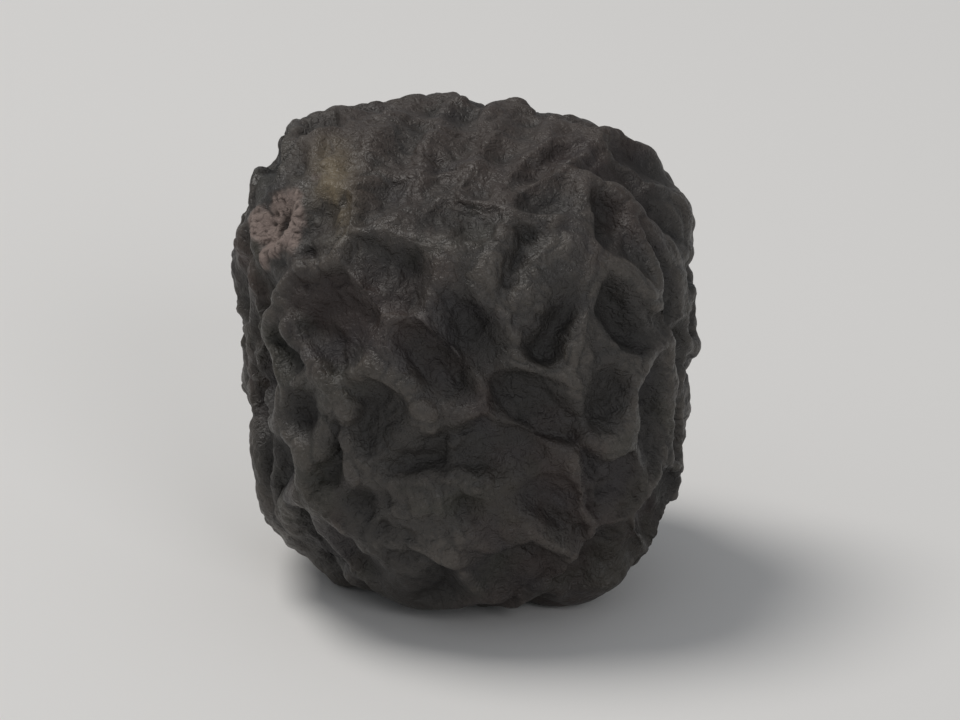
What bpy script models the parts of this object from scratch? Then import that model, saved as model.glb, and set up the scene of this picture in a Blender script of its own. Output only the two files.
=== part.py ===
"""A dried black peppercorn, about five millimetres across, resting on three low knees round a small flat spot.

The berry is one solid. Each point of its skin lies on a ray from the middle. Its distance along that ray is a round
body with flattened sides, plus a net of wrinkles, a few longer folds, the scar that the stem left and the dried
remnant of the flower at the other end. Lengths are in millimetres until the mesh is made.
"""

import math

import bmesh
import bpy
import numpy as np
from mathutils import Vector, noise
from mathutils.kdtree import KDTree

MM = 0.001
SKIN_COLOR = (0.045, 0.038, 0.034, 1)
SKIN_ROUGHNESS = 0.55

# Whole berry: left to right, front to back, and height above the surface it lies on
BERRY_SIZE = np.array((5.02, 4.90, 5.20))
MEAN_RADIUS = BERRY_SIZE.mean() / 2
SPHERE_DIVISIONS = 7
TRIANGLES = 11000
SEED = 7

# Noise is given by how fine it is and by an offset. The three parts of a shift in space lie this far apart in it
NOISE_STEP = 17.3

# Round body: a power above 2 makes it a little square, and each flat side is a direction and how far it is pulled in.
# A broad unevenness, given by its height and noise, lies over it
BODY_POWER = 2.4
UNEVENNESS = 0.08
UNEVEN_NOISE = (1.3, 8.8)
FLAT_EDGE = 26
FLAT_SIDES = (
    ((-0.06, -0.10, 1.00), 0.24),
    ((-1.00, -0.15, 0.05), 0.14),
    ((-0.66, -0.40, -0.64), 0.04),
    ((0.95, -0.30, -0.05), 0.10),
    ((0.45, 0.80, 0.30), 0.18),
    ((-0.55, 0.78, 0.20), 0.14),
    ((0.10, 0.72, -0.68), 0.16),
    ((0.02, 0.03, -1.00), 0.14),
)

# Swellings of the body: direction, height and breadth. The first two are its shoulders, left and right
SWELLINGS = (
    ((-0.74, 0.16, 0.65), 0.44, 1.10),
    ((0.77, 0.20, 0.60), 0.34, 0.90),
    ((-0.64, -0.28, -0.71), 0.16, 0.80),
    ((0.80, -0.22, -0.56), 0.17, 0.75),
    ((0.10, 0.85, 0.55), 0.12, 1.20),
)

# The flat spot below the berry, and the three blunt knees round it that reach a little lower and touch the surface.
# A fold of the skin runs down to each knee, between these two slopes
FOOT_RADIUS = 0.45
FOOT_HEIGHT = 0.10
NET_BEGINS = 2.15
KNEE_REACH = 1.34
KNEE_RADIUS = 0.36
KNEE_HEIGHT = 0.46
KNEE_SLOPE = 0.25
KNEE_TURNS = (math.radians(80), math.radians(195), math.radians(320))
KNEE_FOLD_REACH = (0.62, 1.75)
KNEE_FOLD_HEIGHT = 0.30
KNEE_FOLD_BREADTH = 0.22

# The front is described as seen from this high, by places across and up from the berry's middle
FRONT_ELEVATION = math.radians(21.5)
FRONT_RIGHT = np.array((1, 0, 0))
FRONT_UP = np.array((0, math.sin(FRONT_ELEVATION), math.cos(FRONT_ELEVATION)))
FRONT_OUT = np.array((0, -math.cos(FRONT_ELEVATION), math.sin(FRONT_ELEVATION)))

# Net of wrinkles: hollows of uneven depth, with a ridge of uneven strength along every border between two of them.
# It is bent by noise of these reaches, and a finer net lies over it
HOLLOW_SPACING = 0.70
HOLLOW_JITTER = 0.22
FRONT_CLEARANCE = 0.56
NEIGHBOURS = 7
NET_HEIGHT = 0.36
NET_SHARPNESS = 140
RIDGE_RISE = (0.0, 0.60)
RIDGE_CREST = 0.50
HOLLOW_EDGE = (0.12, 0.50)
HOLLOW_FILL = 0.30
MEAN_RELIEF = 0.16
RIDGE_STRENGTH = (0.10, 1.0)
HOLLOW_DEPTH = (0.0, 0.08)
LENGTHWISE_STRETCH = 0.16
WANDER = (
    (0.17, 1.7, 3.1),
    (0.08, 4.3, 9.2),
)
FINE_SPACING = 0.40
FINE_JITTER = 0.4
FINE_SHARPNESS = 380
FINE_HEIGHT = 0.08

# Nearly parallel folds across the top, given in plan by where each starts and ends, then height and half its breadth
TOP_DIRECTION = np.array((-0.06, -0.10, 1.00))
TOP_EDGE = (0.80, 0.94)
TOP_NET = 0.35
TOP_LEVEL = 2.2
FOLD_END = 0.4
FOLD_BEND = 0.05
FOLD_NOISE = (3.5, 6.6)
TOP_FOLDS = (
    ((-1.75, -0.75), (-1.15, 0.75), 0.18, 0.13),
    ((-1.25, -1.15), (-0.50, 1.05), 0.25, 0.14),
    ((-0.72, -1.20), (0.02, 1.10), 0.18, 0.12),
    ((-0.15, -1.25), (0.55, 1.10), 0.23, 0.14),
    ((0.42, -1.15), (1.05, 0.95), 0.18, 0.12),
    ((0.98, -0.90), (1.50, 0.55), 0.21, 0.13),
)

# Ridges that stand out on the front, given like the folds, and its hollows
FRONT_RIDGES = (
    ((-1.32, 1.92), (-1.28, 1.30), 0.16, 0.11),
    ((1.17, 1.03), (2.30, -0.17), 0.14, 0.14),
    ((-0.73, -2.07), (0.17, -1.67), 0.14, 0.13),
    ((-2.40, -1.17), (-1.43, -1.97), 0.13, 0.13),
    ((-1.43, -1.97), (-0.83, -2.47), 0.12, 0.13),
    ((-0.13, 1.23), (-0.03, 0.53), 0.12, 0.12),
    ((-0.03, 0.53), (-0.43, 0.13), 0.12, 0.12),
    ((-0.43, 0.13), (-1.43, -0.37), 0.12, 0.13),
    ((-0.70, 2.60), (-1.45, 2.10), 0.12, 0.12),
)
FRONT_HOLLOWS = (
    (-1.53, 1.30),
    (-0.78, 1.68),
    (0.00, 1.90),
    (-0.18, 1.36),
    (-0.60, 0.86),
    (0.66, 0.95),
    (1.42, 1.36),
    (1.97, 1.58),
    (2.20, 0.72),
    (1.57, 0.36),
    (1.52, -0.34),
    (-1.38, 0.34),
    (-2.13, 0.55),
    (-0.33, -0.15),
    (-0.93, -0.62),
    (-1.38, -1.00),
    (0.24, -1.02),
    (-0.73, -1.57),
    (-1.53, -1.87),
    (-0.33, -2.28),
    (0.55, -1.95),
    (-2.03, 1.93),
    (0.52, 1.93),
    (0.97, 1.52),
    (0.05, 0.32),
    (0.87, 0.30),
    (-1.86, -0.02),
    (-1.72, -0.50),
    (-2.02, -1.12),
    (-1.05, -1.42),
    (-0.40, -0.98),
    (0.80, -0.45),
    (0.88, -1.38),
    (1.55, -1.20),
    (2.05, -0.55),
    (2.00, -1.45),
    (-1.00, -2.10),
    (1.30, -1.95),
)

# Scar of the stem: a shallow dish in a raised rim, with wrinkles running out from it, made uneven by the noise
SCAR_NOISE = (2.6, 5.5)
WRINKLE_HEIGHT = 0.08
WRINKLE_BEND = 5
STEM_DIRECTION = np.array((-0.74, -0.25, 0.62))
STEM_BEND = 0.25
STEM_RIM = 0.10
STEM_RIM_RADIUS = 0.40
STEM_RIM_WIDTH = 0.11
STEM_DISH = 0.08
STEM_DISH_FLOOR = 0.16
STEM_WRINKLES = 9
STEM_WRINKLES_BEGIN = (0.40, 0.60)
STEM_WRINKLES_END = (1.20, 0.80)
STEM_NET = (0.36, 0.80)

# Remnant of the flower at the other end: a lobed knob in a hollow, with a few wrinkles
TIP_DIRECTION = np.array((0.74, 0.24, -0.63))
TIP_BEND = 0.3
TIP_HOLLOW_DEPTH = 0.12
TIP_HOLLOW = (0.50, 0.20)
TIP_RADIUS = 0.15
TIP_HEIGHT = 0.16
TIP_SLOPE = (1.3, 0.5)
TIP_LOBES = 3
TIP_LOBE_DEPTH = 0.25
TIP_WRINKLES = 6
TIP_WRINKLES_BEGIN = (0.15, 0.30)
TIP_WRINKLES_END = (1.10, 0.50)
TIP_NET = (0.35, 0.90)
RELIEF_LIMIT = 0.45


def unit(vectors):
    return vectors / np.linalg.norm(vectors, axis=-1, keepdims=True)


def smooth_step(low, high, value):
    t = np.clip((value - low) / (high - low), 0, 1)
    return t * t * (3 - 2 * t)


def seen_from_front(across, up):
    """Direction of the skin at this place, where the line of sight meets the berry's round body."""
    half = BERRY_SIZE / 2
    place = (across * FRONT_RIGHT + up * FRONT_UP) / half
    sight = FRONT_OUT / half
    middle = -(place @ sight) / (sight @ sight)
    reach = math.sqrt(max(middle**2 - (place @ place - 1) / (sight @ sight), 0))
    return unit((place + (middle + reach) * sight) * half)


def on_top_at(x, y):
    return unit(np.array((x, y, TOP_LEVEL)))


def value_noise(places, scale, offset):
    shift = Vector((offset, offset, offset))
    return np.array([noise.noise(Vector(p) * scale + shift) for p in places])


def vector_noise(places, scale, offset):
    return np.stack([value_noise(places, scale, offset + axis * NOISE_STEP) for axis in range(3)], axis=1)


def even_points(count, jitter, rng):
    """Points spread evenly over the unit sphere along a spiral, each then moved a little."""
    k = np.arange(count) + 0.5
    polar = np.arccos(1 - 2 * k / count)
    turn = math.pi * (1 + math.sqrt(5)) * k
    points = np.stack([np.cos(turn) * np.sin(polar), np.sin(turn) * np.sin(polar), np.cos(polar)], axis=1)
    return unit(points + rng.normal(size=points.shape) * jitter * math.sqrt(4 * math.pi / count))


def even_count(spacing):
    """How many points at this spacing cover the berry."""
    return round(4 * math.pi * MEAN_RADIUS**2 / (spacing**2 * math.sqrt(3) / 2))


def hollow_centres(rng):
    """The hollows seen on the front, then even ones over the rest of the berry."""
    front = np.array([seen_from_front(across, up) for across, up in FRONT_HOLLOWS])
    others = even_points(even_count(HOLLOW_SPACING), HOLLOW_JITTER, rng)
    clear = (others @ front.T).max(axis=1) < math.cos(FRONT_CLEARANCE / MEAN_RADIUS)
    return np.concatenate([front, others[clear]])


def wander(directions):
    """Bends straight borders into wandering ones, and draws the hollows out from the stem towards the tip."""
    bent = directions + sum(reach * vector_noise(directions, scale, offset) for reach, scale, offset in WANDER)
    axis = unit(STEM_DIRECTION)
    return unit(bent - LENGTHWISE_STRETCH * (bent @ axis)[:, None] * axis)


def nearest(directions, centres):
    """The centres nearest to each direction, and how far off they are."""
    tree = KDTree(len(centres))
    for i, centre in enumerate(centres):
        tree.insert(centre, i)
    tree.balance()
    found = np.array([[(i, away) for _, i, away in tree.find_n(one, NEIGHBOURS)] for one in directions])
    return found[:, :, 0].astype(int), found[:, :, 1]


def soft_net(directions, centres, sharpness, rng):
    """Ridges of uneven height along the borders between centres, the level of each hollow, and how far off it is."""
    count = len(centres)
    strength = np.triu(rng.uniform(*RIDGE_STRENGTH, size=(count, count)), 1)
    strength += strength.T
    depth = rng.uniform(*HOLLOW_DEPTH, size=count)
    index, away = nearest(directions, centres)
    share = np.exp(-sharpness * (away**2 - away[:, :1] ** 2) / 2)
    share /= share.sum(axis=1, keepdims=True)
    between = strength[index[:, :, None], index[:, None, :]]
    ridge = 2 * np.einsum("ni,nij,nj->n", share, between, share)
    raised = (1 - RIDGE_CREST) * smooth_step(*RIDGE_RISE, ridge) + RIDGE_CREST * ridge
    return raised, (share * depth[index]).sum(axis=1), away[:, 0] * MEAN_RADIUS


def net_relief(directions, rng):
    """The net, with wide hollows filled towards their edges so that they stay small, and a finer net over it."""
    centres = wander(hollow_centres(rng))
    wandering = wander(directions)
    ridge, sunken, off_hollow = soft_net(wandering, centres, NET_SHARPNESS, rng)
    ridge = 1 - (1 - ridge) * (1 - HOLLOW_FILL * smooth_step(*HOLLOW_EDGE, off_hollow))
    fine_centres = even_points(even_count(FINE_SPACING), FINE_JITTER, rng)
    fine, _, _ = soft_net(wandering, fine_centres, FINE_SHARPNESS, rng)
    return NET_HEIGHT * ridge - sunken + FINE_HEIGHT * fine


def fold(directions, start, end, height, breadth):
    """One ridge over the skin from start to end, highest in the middle and running out at both ends."""
    chord = end - start
    along = np.clip((directions - start) @ chord / (chord @ chord), 0, 1)
    line = unit(start + along[:, None] * chord)
    away = np.linalg.norm(directions - line, axis=1) * MEAN_RADIUS
    return height * (FOLD_END + (1 - FOLD_END) * np.sin(math.pi * along)) / np.cosh(away / breadth) ** 2


def fold_relief(directions, relief):
    """Weakens the net on the broad top and lays the folds across it, and adds the ridges of the front."""
    bent = unit(directions + FOLD_BEND * vector_noise(directions, *FOLD_NOISE))
    on_top = smooth_step(*TOP_EDGE, bent @ unit(TOP_DIRECTION))
    relief = MEAN_RELIEF + (relief - MEAN_RELIEF) * (1 - (1 - TOP_NET) * on_top)
    folds = [(on_top_at(*start), on_top_at(*end), *form) for start, end, *form in TOP_FOLDS]
    folds += [(seen_from_front(*start), seen_from_front(*end), *form) for start, end, *form in FRONT_RIDGES]
    return relief + np.max([fold(bent, *one) for one in folds], axis=0)


def around(directions, axis):
    """Distance over the skin from where the axis comes out, and the angle round it."""
    axis = unit(axis)
    side = unit(np.cross(axis, (0, 0, 1)))
    other = np.cross(axis, side)
    distance = np.arccos(np.clip(directions @ axis, -1, 1)) * MEAN_RADIUS
    return distance, np.arctan2(directions @ other, directions @ side)


def body_radius(directions):
    half = BERRY_SIZE / 2
    parts = [(np.abs(directions / half) ** BODY_POWER).sum(axis=1) ** (1 / BODY_POWER)]
    for normal, inset in FLAT_SIDES:
        normal = unit(np.array(normal))
        reach = np.linalg.norm(normal * half) - inset
        parts.append(np.maximum(directions @ normal, 0) / reach)
    radius = (np.array(parts) ** FLAT_EDGE).sum(axis=0) ** (-1 / FLAT_EDGE)
    for normal, height, breadth in SWELLINGS:
        distance, _ = around(directions, np.array(normal))
        radius += height * np.exp(-((distance / breadth) ** 2))
    return radius


def wrinkles(count, angle, bend):
    return WRINKLE_HEIGHT * (0.5 + 0.5 * np.cos(count * angle + WRINKLE_BEND * bend))


def stem_scar(directions, bend):
    """Relief of the scar, and how far the net is let through round it."""
    distance, angle = around(directions, STEM_DIRECTION)
    distance = distance * (1 + STEM_BEND * bend)
    rim = STEM_RIM * (1 + bend) * np.exp(-(((distance - STEM_RIM_RADIUS) / STEM_RIM_WIDTH) ** 2))
    dish = -STEM_DISH * smooth_step(STEM_RIM_RADIUS, STEM_DISH_FLOOR, distance)
    reach = smooth_step(*STEM_WRINKLES_BEGIN, distance) * smooth_step(*STEM_WRINKLES_END, distance)
    return rim + dish + wrinkles(STEM_WRINKLES, angle, bend) * reach, smooth_step(*STEM_NET, distance)


def flower_tip(directions, bend):
    """Relief of the flower's remnant, and how far the net is let through round it."""
    distance, angle = around(directions, TIP_DIRECTION)
    distance = distance * (1 + TIP_BEND * bend)
    hollow = -TIP_HOLLOW_DEPTH * smooth_step(*TIP_HOLLOW, distance)
    lobes = TIP_RADIUS * (1 + TIP_LOBE_DEPTH * np.cos(TIP_LOBES * angle + WRINKLE_BEND * bend))
    tip = TIP_HEIGHT * smooth_step(*TIP_SLOPE, distance / lobes)
    reach = smooth_step(*TIP_WRINKLES_BEGIN, distance) * smooth_step(*TIP_WRINKLES_END, distance)
    return hollow + tip + wrinkles(TIP_WRINKLES, angle, bend) * reach, smooth_step(*TIP_NET, distance)


def off_knees(places):
    """Distance in plan from the middle of the nearest knee."""
    knees = [KNEE_REACH * np.array((math.cos(turn), math.sin(turn))) for turn in KNEE_TURNS]
    return np.min([np.linalg.norm(places - knee, axis=1) for knee in knees], axis=0)


def knee_fold(directions, turn):
    side = np.array((math.cos(turn), math.sin(turn), 0))
    start, end = (unit(reach * side - np.array((0, 0, 1))) for reach in KNEE_FOLD_REACH)
    return fold(directions, start, end, KNEE_FOLD_HEIGHT, KNEE_FOLD_BREADTH)


def foot_relief(directions, relief):
    """Fades the net under the berry and raises the three knees that it stands on, with the folds down to them."""
    places = directions[:, :2] * MEAN_RADIUS
    faded = relief * smooth_step(FOOT_RADIUS, NET_BEGINS, np.linalg.norm(places, axis=1))
    faded += np.max([knee_fold(directions, turn) for turn in KNEE_TURNS], axis=0)
    faded = np.maximum(faded, KNEE_HEIGHT * np.exp(-((off_knees(places) / KNEE_RADIUS) ** 2)))
    return np.where(directions[:, 2] < 0, faded, relief)


def skin_points(directions):
    rng = np.random.default_rng(SEED)
    bend = value_noise(directions, *SCAR_NOISE)
    scar, off_scar = stem_scar(directions, bend)
    tip, off_tip = flower_tip(directions, bend)
    relief = fold_relief(directions, net_relief(directions, rng))
    relief = MEAN_RELIEF + (relief - MEAN_RELIEF) * off_scar * off_tip + scar + tip
    relief = RELIEF_LIMIT * np.tanh(foot_relief(directions, relief) / RELIEF_LIMIT)
    relief += UNEVENNESS * value_noise(directions, *UNEVEN_NOISE)
    return directions * (body_radius(directions) + relief)[:, None]


def at_true_size(points):
    """Brings the berry to its size, with the spot below it a little above height 0."""
    low = points.min(axis=0)
    high = points.max(axis=0)
    under = (np.hypot(points[:, 0], points[:, 1]) < FOOT_RADIUS) & (points[:, 2] < 0)
    low[2] = points[under, 2].max() - FOOT_HEIGHT
    middle = (low + high) / 2
    middle[2] = low[2]
    return (points - middle) * BERRY_SIZE / (high - low)


def rest_on_knees(mesh):
    """Flattens the spot below the berry and brings each knee down to one blunt point at height 0."""
    points = np.array([vertex.co for vertex in mesh.vertices]) / MM
    cone = KNEE_SLOPE * off_knees(points[:, :2])
    points[:, 2] = np.maximum(points[:, 2], np.minimum(cone, FOOT_HEIGHT))
    for turn in KNEE_TURNS:
        knee = np.array((KNEE_REACH * math.cos(turn), KNEE_REACH * math.sin(turn), 0))
        points[np.linalg.norm(points - knee, axis=1).argmin()] = knee
    mesh.vertices.foreach_set("co", (points * MM).ravel())


def dried_skin():
    material = bpy.data.materials.new("dried_skin")
    material.use_nodes = True
    shader = material.node_tree.nodes["Principled BSDF"]
    shader.inputs["Base Color"].default_value = SKIN_COLOR
    shader.inputs["Roughness"].default_value = SKIN_ROUGHNESS
    shader.inputs["Metallic"].default_value = 0
    return material


def peppercorn():
    bm = bmesh.new()
    bmesh.ops.create_icosphere(bm, subdivisions=SPHERE_DIVISIONS, radius=1)
    directions = unit(np.array([vertex.co for vertex in bm.verts]))
    for vertex, point in zip(bm.verts, at_true_size(skin_points(directions))):
        vertex.co = point * MM
    fine = bpy.data.meshes.new("fine_skin")
    bm.to_mesh(fine)
    bm.free()
    berry = bpy.data.objects.new("peppercorn", fine)
    bpy.context.scene.collection.objects.link(berry)
    fewer_faces = berry.modifiers.new("fewer_faces", "DECIMATE")
    fewer_faces.ratio = TRIANGLES / len(fine.polygons)
    graph = bpy.context.evaluated_depsgraph_get()
    skin = bpy.data.meshes.new_from_object(berry.evaluated_get(graph))
    skin.name = "peppercorn"
    rest_on_knees(skin)
    skin.shade_smooth()
    skin.materials.append(dried_skin())
    berry.modifiers.clear()
    berry.data = skin
    bpy.data.meshes.remove(fine)


def main():
    for leftover in list(bpy.data.objects):
        bpy.data.objects.remove(leftover)
    peppercorn()


main()
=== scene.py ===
import math

import bmesh
import bpy
import numpy as np
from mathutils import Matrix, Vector, noise
from mathutils.kdtree import KDTree


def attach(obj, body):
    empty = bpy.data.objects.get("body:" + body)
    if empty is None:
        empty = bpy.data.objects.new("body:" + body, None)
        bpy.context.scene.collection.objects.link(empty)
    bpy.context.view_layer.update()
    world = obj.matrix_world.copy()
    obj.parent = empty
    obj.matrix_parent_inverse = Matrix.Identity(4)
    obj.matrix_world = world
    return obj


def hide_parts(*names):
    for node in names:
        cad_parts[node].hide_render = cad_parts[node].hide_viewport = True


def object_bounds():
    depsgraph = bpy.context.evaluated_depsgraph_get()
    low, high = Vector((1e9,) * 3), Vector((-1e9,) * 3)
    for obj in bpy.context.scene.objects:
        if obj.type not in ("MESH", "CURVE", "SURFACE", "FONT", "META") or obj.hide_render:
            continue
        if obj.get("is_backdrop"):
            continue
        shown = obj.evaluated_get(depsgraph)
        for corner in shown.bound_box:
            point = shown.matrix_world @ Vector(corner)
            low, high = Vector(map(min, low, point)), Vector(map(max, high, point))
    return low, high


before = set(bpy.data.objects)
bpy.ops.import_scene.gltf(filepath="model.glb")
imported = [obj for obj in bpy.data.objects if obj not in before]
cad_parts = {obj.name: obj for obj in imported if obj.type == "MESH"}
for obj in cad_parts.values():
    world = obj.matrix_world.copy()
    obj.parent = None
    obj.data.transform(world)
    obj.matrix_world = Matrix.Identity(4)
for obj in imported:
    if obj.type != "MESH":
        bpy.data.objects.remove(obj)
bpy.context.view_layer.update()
print("berry frame loaded")

mm = 0.001

# The berry's form, in millimetres. Flat sides are a direction and how far it is pulled in.
# Swellings are a direction, a height and a breadth. Noise is how fine it is and an offset.
berry = {
    "size": np.array((5.02, 4.90, 5.20)),
    "splits": 99,   # each side of the first 20 triangles is cut into this many
    "seed": 7,
    "noiseStep": 17.3,   # between the three parts of a shift in space
    "power": 2.4,   # above 2 is a little square
    "edge": 26,
    "flatSides": (
        ((-0.06, -0.10, 1.00), 0.24),
        ((-1.00, -0.15, 0.05), 0.14),
        ((-0.66, -0.40, -0.64), 0.04),
        ((0.95, -0.30, -0.05), 0.10),
        ((0.45, 0.80, 0.30), 0.18),
        ((-0.55, 0.78, 0.20), 0.14),
        ((0.10, 0.72, -0.68), 0.16),
        ((0.02, 0.03, -1.00), 0.14),
    ),
    "swellings": (
        ((-0.74, 0.16, 0.65), 0.44, 1.10),   # left shoulder, behind the stem's scar
        ((0.77, 0.20, 0.60), 0.34, 0.90),
        ((-0.64, -0.28, -0.71), 0.16, 0.80),
        ((0.80, -0.22, -0.56), 0.17, 0.75),
        ((0.10, 0.85, 0.55), 0.12, 1.20),
    ),
    "unevenness": 0.08,
    "unevenNoise": (1.3, 8.8),
    "reliefLimit": 0.45,
}
meanRadius = berry["size"].mean() / 2

# Net of wrinkles: hollows with a ridge along every border between two of them, and a finer net over it
net = {
    "spacing": 0.70,
    "jitter": 0.22,
    "height": 0.36,
    "sharpness": 140,
    "rise": (0.0, 0.60),
    "crest": 0.50,
    "hollowEdge": (0.12, 0.50),
    "hollowFill": 0.30,
    "meanRelief": 0.16,
    "strength": (0.10, 1.0),   # weak borders let hollows run together
    "neighbours": 7,
    "frontClearance": 0.56,
    "hollowDepth": (0.0, 0.08),
    "stretch": 0.16,   # hollows are drawn out from the stem towards the tip
    "fineSpacing": 0.40,
    "fineSharpness": 380,
    "fineHeight": 0.08,
    "fineJitter": 0.4,
    "wander": ((0.17, 1.7, 3.1), (0.08, 4.3, 9.2)),   # reach, then noise
}

# Hollows on the front, by their place across and up from the middle as seen from the camera's height
frontHollows = (
    (-1.53, 1.30), (-0.78, 1.68), (0.00, 1.90), (-0.18, 1.36), (-0.60, 0.86), (0.66, 0.95), (1.42, 1.36),
    (1.97, 1.58), (2.20, 0.72), (1.57, 0.36), (1.52, -0.34), (-1.38, 0.34), (-2.13, 0.55), (-0.33, -0.15),
    (-0.93, -0.62), (-1.38, -1.00), (0.24, -1.02), (-0.73, -1.57), (-1.53, -1.87), (-0.33, -2.28),
    (0.55, -1.95), (-2.03, 1.93), (0.52, 1.93), (0.97, 1.52), (0.05, 0.32), (0.87, 0.30), (-1.86, -0.02),
    (-1.72, -0.50), (-2.02, -1.12), (-1.05, -1.42), (-0.40, -0.98), (0.80, -0.45), (0.88, -1.38),
    (1.55, -1.20), (2.05, -0.55), (2.00, -1.45), (-1.00, -2.10), (1.30, -1.95),
)
# Ridges that stand out on the front: start and end like the hollows, height, half the breadth
frontRidges = (
    ((-1.32, 1.92), (-1.28, 1.30), 0.16, 0.11),
    ((1.17, 1.03), (2.30, -0.17), 0.14, 0.14),
    ((-0.73, -2.07), (0.17, -1.67), 0.14, 0.13),
    ((-2.40, -1.17), (-1.43, -1.97), 0.13, 0.13),
    ((-1.43, -1.97), (-0.83, -2.47), 0.12, 0.13),
    ((-0.13, 1.23), (-0.03, 0.53), 0.12, 0.12),
    ((-0.03, 0.53), (-0.43, 0.13), 0.12, 0.12),
    ((-0.43, 0.13), (-1.43, -0.37), 0.12, 0.13),
    ((-0.70, 2.60), (-1.45, 2.10), 0.12, 0.12),
)
cameraHeight = math.radians(21.5)

# Folds across the top: start and end in plan, height, half the breadth
top = {
    "direction": np.array((-0.06, -0.10, 1.00)),
    "edge": (0.80, 0.94),
    "net": 0.35,   # how much of the net is left there
    "level": 2.2,
    "bend": 0.05,
    "bendNoise": (3.5, 6.6),
    "foldEnd": 0.4,   # height of a fold at its ends, against its middle
    "folds": (
        ((-1.75, -0.75), (-1.15, 0.75), 0.18, 0.13),
        ((-1.25, -1.15), (-0.50, 1.05), 0.25, 0.14),
        ((-0.72, -1.20), (0.02, 1.10), 0.18, 0.12),
        ((-0.15, -1.25), (0.55, 1.10), 0.23, 0.14),
        ((0.42, -1.15), (1.05, 0.95), 0.18, 0.12),
        ((0.98, -0.90), (1.50, 0.55), 0.21, 0.13),
    ),
}

# Scar of the stem: a dish in a raised rim, wrinkles round it and torn fibres in it. Edges are given
# in radii of the scar, from none to full
stem = {
    "direction": np.array((-0.74, -0.25, 0.62)),
    "unevenNoise": (2.6, 5.5),
    "uneven": 0.25,
    "radius": 0.40,
    "rim": 0.10,
    "rimWidth": 0.11,
    "dish": 0.08,
    "dishEdge": (1.0, 0.4),
    "clearEdge": (0.9, 2.0),
    "wrinkles": 9,
    "wrinkleHeight": 0.08,
    "wrinkleBend": 5,
    "wrinkleInner": (1.0, 1.5),
    "wrinkleOuter": (3.0, 2.0),
    "tornEdge": (1.15, 0.60),
    "fibres": 13,
    "fibreHeight": 0.030,
    "fibreInner": (0.05, 0.20),   # mm from the middle
    "fibreNoise": (14, 2.9),
    "fibreBend": 9,
    "ragged": 0.60,
    "raggedNoise": ((1.0, 5.5, 4.4), (0.5, 12, 6.1)),
    "pit": (0.11, 0.02),   # mm from the middle
    "pitDepth": 1.6,
    "pitShade": 0.75,
}

# Remnant of the flower at the other end: a lobed knob in a hollow, with its edges in the same way
flowerTip = {
    "direction": np.array((0.74, 0.24, -0.63)),
    "hollowRadius": 0.50,
    "hollowDepth": 0.12,
    "hollowEdge": (1.0, 0.4),
    "clearEdge": (0.7, 1.8),
    "radius": 0.15,
    "height": 0.16,
    "knobEdge": (1.3, 0.5),
    "stainEdge": (1.6, 0.6),
    "uneven": 0.3,
    "lobes": 3,
    "lobeDepth": 0.25,
    "wrinkles": 6,
    "wrinkleInner": (1.0, 2.0),
    "wrinkleOuter": (2.2, 1.0),
}

# The spot below, the three knees that the berry stands on and the folds that run down to them
foot = {
    "radius": 0.45,
    "height": 0.10,
    "netBegins": 2.15,
    "kneeReach": 1.34,
    "kneeRadius": 0.36,
    "kneeHeight": 0.46,
    "kneeSlope": 0.25,
    "kneeTurns": (80, 195, 320),
    "foldReach": (0.62, 1.75),   # the fold that ends on a knee runs between these slopes
    "foldHeight": 0.30,
    "foldBreadth": 0.22,
}


def unit(vectors):
    return vectors / np.linalg.norm(vectors, axis=-1, keepdims=True)


def smoothStep(low, high, value):
    t = np.clip((value - low) / (high - low), 0, 1)
    return t * t * (3 - 2 * t)


def softEdge(edge, radius, distance):
    return smoothStep(edge[0] * radius, edge[1] * radius, distance)


def valueNoise(places, scale, offset):
    shift = Vector((offset, offset, offset))
    return np.array([noise.noise(Vector(p) * scale + shift) for p in places])


def vectorNoise(places, scale, offset):
    offsets = (offset + axis * berry["noiseStep"] for axis in range(3))
    return np.stack([valueNoise(places, scale, one) for one in offsets], axis=1)


# Several shifts added up: each is a reach and a noise
def shifts(places, waves):
    return sum(reach * vectorNoise(places, scale, offset) for reach, scale, offset in waves)


def evenPoints(count, jitter, rng):
    k = np.arange(count) + 0.5
    polar = np.arccos(1 - 2 * k / count)
    turn = math.pi * (1 + math.sqrt(5)) * k   # golden spiral
    ring = np.sin(polar)
    points = np.stack([np.cos(turn) * ring, np.sin(turn) * ring, np.cos(polar)], axis=1)
    return unit(points + rng.normal(size=points.shape) * jitter * math.sqrt(4 * math.pi / count))


def pointCount(spacing):
    return round(4 * math.pi / ((spacing / meanRadius) ** 2 * math.sqrt(3) / 2))


# Where the camera's line of sight meets the round body
def seenFromFront(across, up):
    half = berry["size"] / 2
    right = np.array((1, 0, 0))
    upward = np.array((0, math.sin(cameraHeight), math.cos(cameraHeight)))
    outward = np.array((0, -math.cos(cameraHeight), math.sin(cameraHeight)))
    place = (across * right + up * upward) / half
    sight = outward / half
    middle = -(place @ sight) / (sight @ sight)
    reach = math.sqrt(max(middle**2 - (place @ place - 1) / (sight @ sight), 0))
    return unit((place + (middle + reach) * sight) * half)


def hollowCentres(rng):
    front = np.array([seenFromFront(across, up) for across, up in frontHollows])
    others = evenPoints(pointCount(net["spacing"]), net["jitter"], rng)
    clear = (others @ front.T).max(axis=1) < math.cos(net["frontClearance"] / meanRadius)
    return np.concatenate([front, others[clear]])


def wander(directions):
    bent = directions + shifts(directions, net["wander"])
    axis = unit(stem["direction"])
    return unit(bent - net["stretch"] * (bent @ axis)[:, None] * axis)


# The nearest centres to each point, and how far off they are
def nearest(points, centres):
    tree = KDTree(len(centres))
    for i, centre in enumerate(centres):
        tree.insert(centre, i)
    tree.balance()
    number = net["neighbours"]
    found = np.array([[(i, away) for _, i, away in tree.find_n(point, number)] for point in points])
    return found[:, :, 0].astype(int), found[:, :, 1]


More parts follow.
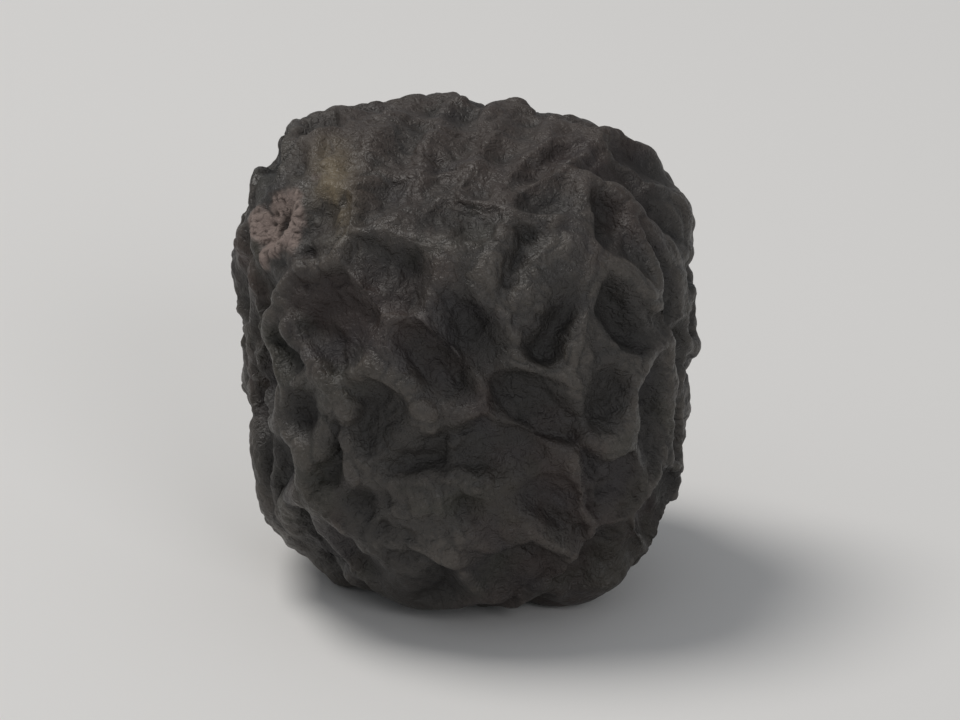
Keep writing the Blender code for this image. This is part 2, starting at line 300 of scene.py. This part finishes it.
# Soft shares between the nearest centres: two near-equal shares make a ridge
def softNet(directions, centres, sharpness, rng):
    count = len(centres)
    strength = np.triu(rng.uniform(*net["strength"], size=(count, count)), 1)
    strength += strength.T
    depth = rng.uniform(*net["hollowDepth"], size=count)
    index, distance = nearest(directions, centres)
    share = np.exp(-sharpness * (distance**2 - distance[:, :1] ** 2) / 2)
    share /= share.sum(axis=1, keepdims=True)
    between = strength[index[:, :, None], index[:, None, :]]
    ridge = 2 * np.einsum("ni,nij,nj->n", share, between, share)
    raised = (1 - net["crest"]) * smoothStep(*net["rise"], ridge) + net["crest"] * ridge
    return raised, (share * depth[index]).sum(axis=1), distance[:, 0] * meanRadius


def netRelief(directions, rng):
    centres = wander(hollowCentres(rng))
    wandering = wander(directions)
    ridge, sunken, away = softNet(wandering, centres, net["sharpness"], rng)
    ridge = 1 - (1 - ridge) * (1 - net["hollowFill"] * smoothStep(*net["hollowEdge"], away))
    fineCentres = evenPoints(pointCount(net["fineSpacing"]), net["fineJitter"], rng)
    fine, _, _ = softNet(wandering, fineCentres, net["fineSharpness"], rng)
    return net["height"] * ridge - sunken + net["fineHeight"] * fine


def onTopAt(x, y):
    return unit(np.array((x, y, top["level"])))


def fold(directions, start, end, height, breadth):
    chord = end - start
    along = np.clip((directions - start) @ chord / (chord @ chord), 0, 1)
    line = unit(start + along[:, None] * chord)
    away = np.linalg.norm(directions - line, axis=1) * meanRadius
    rise = top["foldEnd"] + (1 - top["foldEnd"]) * np.sin(math.pi * along)
    return height * rise / np.cosh(away / breadth) ** 2


def foldRelief(directions, relief):
    bent = unit(directions + top["bend"] * vectorNoise(directions, *top["bendNoise"]))
    onTop = smoothStep(*top["edge"], bent @ unit(top["direction"]))
    relief = net["meanRelief"] + (relief - net["meanRelief"]) * (1 - (1 - top["net"]) * onTop)
    folds = [(onTopAt(*start), onTopAt(*end), *form) for start, end, *form in top["folds"]]
    folds += [(seenFromFront(*start), seenFromFront(*end), *form) for start, end, *form in frontRidges]
    return relief + np.max([fold(bent, *one) for one in folds], axis=0)


# Distance over the skin from where an axis comes out, and the angle round it
def around(directions, axis):
    axis = unit(axis)
    side = unit(np.cross(axis, (0, 0, 1)))
    distance = np.arccos(np.clip(directions @ axis, -1, 1)) * meanRadius
    return distance, np.arctan2(directions @ np.cross(axis, side), directions @ side)


def bodyRadius(directions):
    half = berry["size"] / 2
    parts = [(np.abs(directions / half) ** berry["power"]).sum(axis=1) ** (1 / berry["power"])]
    for normal, inset in berry["flatSides"]:
        normal = unit(np.array(normal))
        parts.append(np.maximum(directions @ normal, 0) / (np.linalg.norm(normal * half) - inset))
    radius = (np.array(parts) ** berry["edge"]).sum(axis=0) ** (-1 / berry["edge"])
    for normal, height, breadth in berry["swellings"]:
        radius += height * np.exp(-((around(directions, np.array(normal))[0] / breadth) ** 2))
    return radius


def wrinkles(count, angle, bend):
    return stem["wrinkleHeight"] * (0.5 + 0.5 * np.cos(count * angle + stem["wrinkleBend"] * bend))


def stemScar(directions, bend):
    radius = stem["radius"]
    distance, angle = around(directions, stem["direction"])
    distance = distance * (1 + stem["uneven"] * bend)
    rim = stem["rim"] * (1 + bend) * np.exp(-(((distance - radius) / stem["rimWidth"]) ** 2))
    dish = -stem["dish"] * softEdge(stem["dishEdge"], radius, distance)
    rays = wrinkles(stem["wrinkles"], angle, bend)
    reach = softEdge(stem["wrinkleInner"], radius, distance)
    reach *= softEdge(stem["wrinkleOuter"], radius, distance)
    return rim + dish + rays * reach, softEdge(stem["clearEdge"], radius, distance)


def tipRelief(directions, bend):
    radius, hollow = flowerTip["radius"], flowerTip["hollowRadius"]
    distance, angle = around(directions, flowerTip["direction"])
    distance = distance * (1 + flowerTip["uneven"] * bend)
    sunken = -flowerTip["hollowDepth"] * softEdge(flowerTip["hollowEdge"], hollow, distance)
    lobed = np.cos(flowerTip["lobes"] * angle + stem["wrinkleBend"] * bend)
    lobes = radius * (1 + flowerTip["lobeDepth"] * lobed)
    tip = flowerTip["height"] * softEdge(flowerTip["knobEdge"], lobes, distance)
    rays = wrinkles(flowerTip["wrinkles"], angle, bend)
    reach = softEdge(flowerTip["wrinkleInner"], radius, distance)
    reach *= softEdge(flowerTip["wrinkleOuter"], hollow, distance)
    return sunken + tip + rays * reach, softEdge(flowerTip["clearEdge"], hollow, distance)


def offKnees(places):
    turns = [math.radians(turn) for turn in foot["kneeTurns"]]
    knees = [foot["kneeReach"] * np.array((math.cos(turn), math.sin(turn))) for turn in turns]
    return np.min([np.linalg.norm(places - knee, axis=1) for knee in knees], axis=0)


def kneeFold(directions, turn):
    side = np.array((math.cos(turn), math.sin(turn), 0))
    start, end = (unit(reach * side - np.array((0, 0, 1))) for reach in foot["foldReach"])
    return fold(directions, start, end, foot["foldHeight"], foot["foldBreadth"])


def footRelief(directions, relief):
    places = directions[:, :2] * meanRadius
    faded = relief * smoothStep(foot["radius"], foot["netBegins"], np.linalg.norm(places, axis=1))
    raised = foot["kneeHeight"] * np.exp(-((offKnees(places) / foot["kneeRadius"]) ** 2))
    folds = [kneeFold(directions, math.radians(turn)) for turn in foot["kneeTurns"]]
    return np.where(directions[:, 2] < 0, np.maximum(faded + np.max(folds, axis=0), raised), relief)


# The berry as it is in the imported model, on a much finer mesh
def mainForm(directions):
    rng = np.random.default_rng(berry["seed"])
    bend = valueNoise(directions, *stem["unevenNoise"])
    scar, offScar = stemScar(directions, bend)
    tip, offTip = tipRelief(directions, bend)
    relief = foldRelief(directions, netRelief(directions, rng))
    relief = net["meanRelief"] + (relief - net["meanRelief"]) * offScar * offTip + scar + tip
    limit = berry["reliefLimit"]
    relief = limit * np.tanh(footRelief(directions, relief) / limit)
    uneven = berry["unevenness"] * valueNoise(directions, *berry["unevenNoise"])
    points = directions * (bodyRadius(directions) + relief + uneven)[:, None]
    low, high = points.min(axis=0), points.max(axis=0)
    under = (np.linalg.norm(points[:, :2], axis=1) < foot["radius"]) & (points[:, 2] < 0)
    low[2] = points[under, 2].max() - foot["height"]
    middle = (low + high) / 2
    middle[2] = low[2]
    return (points - middle) * berry["size"] / (high - low), relief


def standOnKnees(points):
    cone = foot["kneeSlope"] * offKnees(points[:, :2])
    points[:, 2] = np.maximum(points[:, 2], np.minimum(cone, foot["height"]))
    return points


# Stained places on the front: start and end like the ridges, half the breadth
stains = (
    ("straw", (-1.34, 1.98), (-1.27, 1.20), 0.16),
    ("rust", (-2.25, 1.12), (-2.20, 0.62), 0.17),
)

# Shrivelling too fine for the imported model, laid along the skin's own normals: rounded bumps with
# creases between, and thin wrinkles that run along the slopes of the hollows
creases = {
    "bend": ((0.10, 1.9, 2.2), (0.03, 6.3, 4.1)),
    "drawnOut": 0.40,   # how far the bumps are stretched from the stem towards the tip
    "billows": ((1.9, 11.3, 0.055), (3.7, 12.3, 0.045), (7.4, 13.3, 0.022)),   # noise, height
    "billowFull": 0.45,
    "billowShape": 0.75,
    "billowMean": 0.6,
    "creaseWidth": 0.10,
    "leastShare": 0.45,   # of a billow where its patch is off
    "fade": 0.4,          # each finer crease is this much weaker
    "lumps": (1.1, 20.7),
    "lumpHeight": 0.05,
    "patch": (0.8, 7.7),
    "patchEdge": (-0.35, 0.35),
    "slopeWrinkles": 14,   # for each mm of relief
    "slopeNoise": (1.7, 3.6),
    "slopeBend": 1.3,
    "slopeLine": 0.30,
    "slopeDepth": 0.022,
    # how strongly the slope wrinkles are darkened by painted shade in the skin colour
    "slopeShade": 0.6,
    "slopePatch": (2.4, 8.2),
    "slopeEdge": (-0.15, 0.25),
}


def fineRelief(points, relief):
    axis = unit(stem["direction"])
    drawn = points - creases["drawnOut"] * (points @ axis)[:, None] * axis
    bent = drawn + shifts(points, creases["bend"])
    patch = smoothStep(*creases["patchEdge"], valueNoise(points, *creases["patch"]))
    height = creases["lumpHeight"] * valueNoise(points, *creases["lumps"])
    creased = np.zeros(len(points))
    least, full = creases["leastShare"], creases["billowFull"]
    for turn, (scale, offset, tall) in enumerate(creases["billows"]):
        value = np.abs(valueNoise(bent, scale, offset))
        share = least + (1 - least) * (patch if turn % 2 else 1 - patch)
        rounded = np.minimum(value / full, 1) ** creases["billowShape"]
        height += tall * share * (rounded - creases["billowMean"])
        line = share * smoothStep(creases["creaseWidth"], 0, value)
        creased = np.maximum(creased, line / (1 + creases["fade"] * turn))
    uneven = creases["slopeBend"] * valueNoise(points, *creases["slopeNoise"])
    wave = np.sin(math.pi * (creases["slopeWrinkles"] * relief + uneven))
    line = np.exp(-((wave / creases["slopeLine"]) ** 2))
    line *= smoothStep(*creases["slopeEdge"], valueNoise(bent, *creases["slopePatch"]))
    height -= creases["slopeDepth"] * line
    # the second value marks the creases and slope wrinkles where painted shade darkens the skin colour
    return height, np.maximum(creased, creases["slopeShade"] * line)


def fineSphere():
    bm = bmesh.new()
    bmesh.ops.create_icosphere(bm, subdivisions=1, radius=1)
    bmesh.ops.subdivide_edges(bm, edges=bm.edges[:], cuts=berry["splits"] - 1, use_grid_fill=True)
    bmesh.ops.triangulate(bm, faces=bm.faces[:])
    directions = unit(np.array([vertex.co for vertex in bm.verts]))
    return bm, directions


def vertexNormals(mesh):
    normals = np.empty(len(mesh.vertices) * 3, np.float32)
    mesh.vertex_normals.foreach_get("vector", normals)
    return normals.reshape(-1, 3).astype(float)


def setMask(mesh, name, values):
    mask = mesh.attributes.new(name, "FLOAT", "POINT")
    mask.data.foreach_set("value", np.clip(values, 0, 1).astype(np.float32))


# Where the stem tore off: fibres round the dish and a small pit in its middle
def scarFibres(directions):
    distance, angle = around(directions, stem["direction"])
    uneven = valueNoise(directions, *stem["fibreNoise"])
    ragged = sum(share * valueNoise(directions, *wave) for share, *wave in stem["raggedNoise"])
    distance = distance * (1 + stem["ragged"] * ragged)
    inside = softEdge(stem["tornEdge"], stem["radius"], distance)
    fibres = np.abs(np.sin(0.5 * stem["fibres"] * angle + stem["fibreBend"] * uneven))
    fibres *= smoothStep(*stem["fibreInner"], distance)
    pit = smoothStep(*stem["pit"], distance)
    torn = stem["fibreHeight"] * inside * (fibres + uneven - stem["pitDepth"] * pit)
    return torn, inside * (1 - stem["pitShade"] * pit), inside * fibres


# Where the finer work and the colours begin and are full
finishing = {
    "offFoot": (0.10, 0.6),   # mm above the table
    "scarSmooths": 0.7,   # how much of the fine relief the scar takes away
    "ridge": (-0.02, 0.34),   # mm of relief
    # where the painted light on the top begins and is full
    "top": (0.74, 0.90),
}


def makeBerry():
    bm, directions = fineSphere()
    mesh = bpy.data.meshes.new("berrySkin")
    bm.to_mesh(mesh)
    bm.free()
    print("fine sphere:", len(mesh.polygons), "triangles")
    points, relief = mainForm(directions)
    points = standOnKnees(points)
    mesh.vertices.foreach_set("co", points.ravel())
    mesh.update()
    print("body, net of wrinkles, folds and scar done")
    fine, creased = fineRelief(points, relief)
    torn, scar, fibres = scarFibres(directions)
    fromTip, _ = around(directions, flowerTip["direction"])
    offFoot = smoothStep(*finishing["offFoot"], points[:, 2])
    raised = fine * offFoot * (1 - finishing["scarSmooths"] * scar) + torn
    points = points + vertexNormals(mesh) * raised[:, None]
    mesh.vertices.foreach_set("co", (standOnKnees(points) * mm).ravel())
    setMask(mesh, "ridge", smoothStep(*finishing["ridge"], relief))
    # painted shade: the skin colour is darkened along these creases
    setMask(mesh, "crease", creased * offFoot)
    setMask(mesh, "scar", scar)
    setMask(mesh, "fibre", fibres)
    # the upward top, where painted light from above makes the skin colour lighter
    setMask(mesh, "top", smoothStep(*finishing["top"], directions @ unit(top["direction"])))
    for name, start, end, breadth in stains:
        setMask(mesh, name, fold(directions, seenFromFront(*start), seenFromFront(*end), 1, breadth))
    setMask(mesh, "tip", softEdge(flowerTip["stainEdge"], flowerTip["radius"], fromTip))
    mesh.update()
    mesh.shade_smooth()
    print("fine creases done")
    piece = bpy.data.objects.new("peppercornSkin", mesh)
    bpy.context.scene.collection.objects.link(piece)
    return piece


# Skin colours are linear. Textures are given per millimetre: how fine, how detailed, how twisted.
# An edge is where a colour begins and is full, then the least and the most of it where those differ
skinLook = {
    "hollow": (0.0215, 0.0195, 0.0180, 1),
    "body": (0.0295, 0.0265, 0.0240, 1),
    "ridge": (0.0400, 0.0355, 0.0315, 1),
    "crest": (0.0680, 0.0590, 0.0505, 1),
    "maroon": (0.0350, 0.0190, 0.0165, 1),
    "olive": (0.0262, 0.0272, 0.0185, 1),
    "plum": (0.0290, 0.0262, 0.0290, 1),
    # painted light: the top, which faces the light from above, is coloured lighter and warmer
    "litTopColour": (0.0470, 0.0355, 0.0302, 1),
    "straw": (0.150, 0.118, 0.074, 1),
    "rust": (0.0420, 0.0200, 0.0150, 1),
    "dust": (0.13, 0.12, 0.11, 1),
    "scarPale": (0.215, 0.168, 0.148, 1),
    "scarDark": (0.050, 0.036, 0.030, 1),
    "tip": (0.070, 0.042, 0.026, 1),
    # colour by relief: the dark hollows are partly the skin's own tone and partly painted shade, the pale
    # crests are worn skin
    "heights": (("hollow", 0.10), ("body", 0.42), ("ridge", 0.75), ("crest", 1.00)),
    "patches": (   # colour, texture, where it begins and ends, strength
        ("maroon", (0.5, 3, 0.0), (0.50, 0.66), 0.45),
        ("olive", (0.8, 3, 0.5), (0.53, 0.68), 0.40),
        ("plum", (1.1, 3, 0.4), (0.54, 0.70), 0.50),
    ),
    "mottle": (1.7, 4, 0.0),
    "mottleShare": 0.38,
    "flecks": (7, 5, 0.0),
    "flecksShare": 0.32,
    # painted shade: how much darker the creases are made
    "creaseShade": 0.45,
    "litTopEdge": (0.60, 1.45, 0.15, 0.85),
    "strawEdge": (0.30, 0.80, 0.25, 0.95),
    "specks": (26, 2, 0.0),
    "speckEdge": (0.56, 0.72),
    "dustEdge": (0.55, 1.0),
    "dustShare": 0.35,
    "rustShare": 0.75,
    "tipShare": 0.8,
    "scarRagged": 1.2,
    "scarEdge": (0.15, 0.85),
    "scarGrain": (11, 4, 0.0),
    "scarGrainShare": 0.8,
    "fibreShare": 0.6,
    "fibreEdge": (0.35, 0.80),
    "crestWear": -0.5,   # crests are rubbed smoother
    "wornEdge": (0.2, 1.3),
    "roughness": (0.40, 0.66),
    "scarRoughness": 0.8,
    "specular": 0.40,
    "pucker": (11, 3, 0.3),
    "puckerEdge": (0.0, 0.16),
    "puckerHeight": 0.016,
    "puckerStrength": 0.6,
    "grain": (38, 3, 0.0),
    "grainHeight": 0.010,
    "grainStrength": 0.7,
}


def skinMaterial():
    material = bpy.data.materials.new("driedSkin")
    material.use_nodes = True
    nodes, links = material.node_tree.nodes, material.node_tree.links
    shader = nodes["Principled BSDF"]
    look = skinLook

    def feed(socket, value):
        if hasattr(value, "is_output"):
            links.new(value, socket)
        else:
            socket.default_value = value

    def add(kind, **inputs):
        node = nodes.new(kind)
        for name, value in inputs.items():
            feed(node.inputs[name], value)
        return node

    def mathNode(operation, a, b=0.0):
        node = nodes.new("ShaderNodeMath")
        node.operation = operation
        feed(node.inputs[0], a)
        feed(node.inputs[1], b)
        return node.outputs[0]

    def plus(a, b):
        return mathNode("ADD", a, b)

    def times(a, b):
        return mathNode("MULTIPLY", a, b)

    def uneven(value, share):   # a texture either side of nothing
        return times(mathNode("SUBTRACT", value, 0.5), share)

    def mix(factor, a, b):
        node = nodes.new("ShaderNodeMix")
        node.data_type = "RGBA"
        for index, value in ((0, factor), (6, a), (7, b)):
            feed(node.inputs[index], value)
        return node.outputs[2]

    def spread(value, low, high, toLow=0.0, toHigh=1.0):
        node = nodes.new("ShaderNodeMapRange")
        node.interpolation_type = "SMOOTHSTEP"
        for socket, given in zip(node.inputs, (value, low, high, toLow, toHigh)):
            feed(socket, given)
        return node.outputs[0]

    def mask(name):
        node = nodes.new("ShaderNodeAttribute")
        node.attribute_name = name
        return node.outputs["Fac"]

    def texture(scale, detail, twist):
        noiseNode = add("ShaderNodeTexNoise", Vector=inMillimetres, Scale=scale, Detail=detail)
        noiseNode.inputs["Distortion"].default_value = twist
        return noiseNode.outputs["Fac"]

    place = nodes.new("ShaderNodeTexCoord")
    mapping = add("ShaderNodeMapping", Vector=place.outputs["Object"], Scale=(1 / mm,) * 3)
    inMillimetres = mapping.outputs[0]
    ridge, scar = mask("ridge"), mask("scar")
    mottle, flecks = texture(*look["mottle"]), texture(*look["flecks"])

    # lower places on the relief are darker: partly the skin's own tone, partly painted shade in the
    # hollows
    height = plus(ridge, uneven(mottle, look["mottleShare"]))
    # painted shade: the colour is darkened in the creases
    height = mathNode("SUBTRACT", height, times(mask("crease"), look["creaseShade"]))
    height = plus(height, uneven(flecks, look["flecksShare"]))
    ramp = nodes.new("ShaderNodeValToRGB")
    stops = ramp.color_ramp.elements
    stops.new(look["heights"][1][1])
    stops.new(look["heights"][2][1])
    for stop, (name, position) in zip(stops, look["heights"]):
        stop.position, stop.color = position, look[name]
    links.new(height, ramp.inputs[0])

    colour = ramp.outputs[0]
    for name, form, edge, strength in look["patches"]:
        colour = mix(times(spread(texture(*form), *edge), strength), colour, look[name])
    # painted light on the top that faces the lamp above
    litTop = times(mask("top"), spread(plus(height, mottle), *look["litTopEdge"]))
    colour = mix(litTop, colour, look["litTopColour"])
    colour = mix(times(mask("straw"), spread(height, *look["strawEdge"])), colour, look["straw"])
    colour = mix(times(mask("rust"), look["rustShare"]), colour, look["rust"])
    speckled = spread(texture(*look["specks"]), *look["speckEdge"])
    dusty = times(speckled, spread(height, *look["dustEdge"]))
    colour = mix(times(dusty, look["dustShare"]), colour, look["dust"])

    raggedScar = spread(plus(scar, uneven(flecks, look["scarRagged"])), *look["scarEdge"])
    scarGrain = times(texture(*look["scarGrain"]), look["scarGrainShare"])
    fibreTone = plus(times(mask("fibre"), look["fibreShare"]), scarGrain)
    scarTone = mix(spread(fibreTone, *look["fibreEdge"]), look["scarDark"], look["scarPale"])
    colour = mix(raggedScar, colour, scarTone)
    colour = mix(times(mask("tip"), look["tipShare"]), colour, look["tip"])
    links.new(colour, shader.inputs["Base Color"])

    worn = plus(times(ridge, look["crestWear"]), plus(flecks, mottle))
    rough = spread(worn, *look["wornEdge"], *look["roughness"])
    rough = mathNode("MAXIMUM", rough, times(raggedScar, look["scarRoughness"]))
    links.new(rough, shader.inputs["Roughness"])
    shader.inputs["Specular IOR Level"].default_value = look["specular"]
    shader.inputs["Metallic"].default_value = 0

    folded = mathNode("ABSOLUTE", mathNode("SUBTRACT", texture(*look["pucker"]), 0.5))
    puckers = spread(folded, *look["puckerEdge"])
    puckerBump = add("ShaderNodeBump", Height=puckers, Strength=look["puckerStrength"],
                     Distance=look["puckerHeight"] * mm)
    grainBump = add("ShaderNodeBump", Height=texture(*look["grain"]), Strength=look["grainStrength"],
                    Distance=look["grainHeight"] * mm, Normal=puckerBump.outputs[0])
    links.new(grainBump.outputs[0], shader.inputs["Normal"])
    return material


berryPiece = makeBerry()
berryPiece.data.materials.append(skinMaterial())
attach(berryPiece, "root")
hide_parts("peppercorn")
print("berry dressed")

# Pale table, a little uneven in tone
table = {
    "side": 1.2,
    "colour": (0.80, 0.79, 0.775, 1),
    "stain": (0.76, 0.752, 0.74, 1),
    "stainScale": 40,
    "roughness": 0.75,
}


def makeTable():
    bm = bmesh.new()
    bmesh.ops.create_grid(bm, x_segments=1, y_segments=1, size=table["side"] / 2)
    mesh = bpy.data.meshes.new("tableTop")
    bm.to_mesh(mesh)
    bm.free()
    piece = bpy.data.objects.new("tableTop", mesh)
    bpy.context.scene.collection.objects.link(piece)
    material = bpy.data.materials.new("paleTable")
    material.use_nodes = True
    nodes, links = material.node_tree.nodes, material.node_tree.links
    shader = nodes["Principled BSDF"]
    mottle = nodes.new("ShaderNodeTexNoise")
    mottle.inputs["Scale"].default_value = table["stainScale"]
    tone = nodes.new("ShaderNodeMix")
    tone.data_type = "RGBA"
    tone.inputs[6].default_value = table["colour"]
    tone.inputs[7].default_value = table["stain"]
    links.new(mottle.outputs["Fac"], tone.inputs[0])
    links.new(tone.outputs[2], shader.inputs["Base Color"])
    shader.inputs["Roughness"].default_value = table["roughness"]
    mesh.materials.append(material)
    return piece


makeTable()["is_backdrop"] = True
print("table done")

# Soft daylight from above, a weak fill and an even pale surround
studio = {
    "surround": (0.93, 0.96, 1.0, 1),
    "surroundStrength": 0.30,
    "lights": (   # place, size, power, colour
        ("overhead", (-0.045, 0.015, 0.105), 0.055, 0.069, (1.0, 0.975, 0.94)),
        ("frontFill", (0.050, -0.120, 0.070), 0.060, 0.036, (0.98, 0.985, 1.0)),
    ),
}


def aimAt(thing, target):
    thing.rotation_mode = "QUATERNION"
    thing.rotation_quaternion = (target - thing.location).to_track_quat("-Z", "Y")


def lightStudio(middle):
    scene = bpy.context.scene
    scene.world = bpy.data.worlds.new("surround")
    scene.world.use_nodes = True
    surround = scene.world.node_tree.nodes["Background"]
    surround.inputs["Color"].default_value = studio["surround"]
    surround.inputs["Strength"].default_value = studio["surroundStrength"]
    for name, place, size, power, colour in studio["lights"]:
        data = bpy.data.lights.new(name, "AREA")
        data.shape = "DISK"
        data.size, data.energy, data.color = size, power, colour
        light = bpy.data.objects.new(name, data)
        light.location = place
        scene.collection.objects.link(light)
        aimAt(light, middle)
    scene.view_settings.view_transform = "Standard"


# Camera at the photograph's height, close enough for the berry to fill the frame
photoView = {"lens": 300, "frameWidth": 10.4, "lift": -0.1, "across": 0.15, "clip": (0.005, 5)}


def placeCamera(middle):
    data = bpy.data.cameras.new("camera")
    data.lens = photoView["lens"]
    data.clip_start, data.clip_end = photoView["clip"]
    camera = bpy.data.objects.new("camera", data)
    distance = data.lens * photoView["frameWidth"] * mm / data.sensor_width
    target = middle + Vector((photoView["across"], 0, photoView["lift"])) * mm
    camera.location = target + distance * Vector((0, -math.cos(cameraHeight), math.sin(cameraHeight)))
    bpy.context.scene.collection.objects.link(camera)
    aimAt(camera, target)
    bpy.context.scene.camera = camera


low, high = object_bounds()
lightStudio((low + high) / 2)
placeCamera((low + high) / 2)
print("lights and camera set")
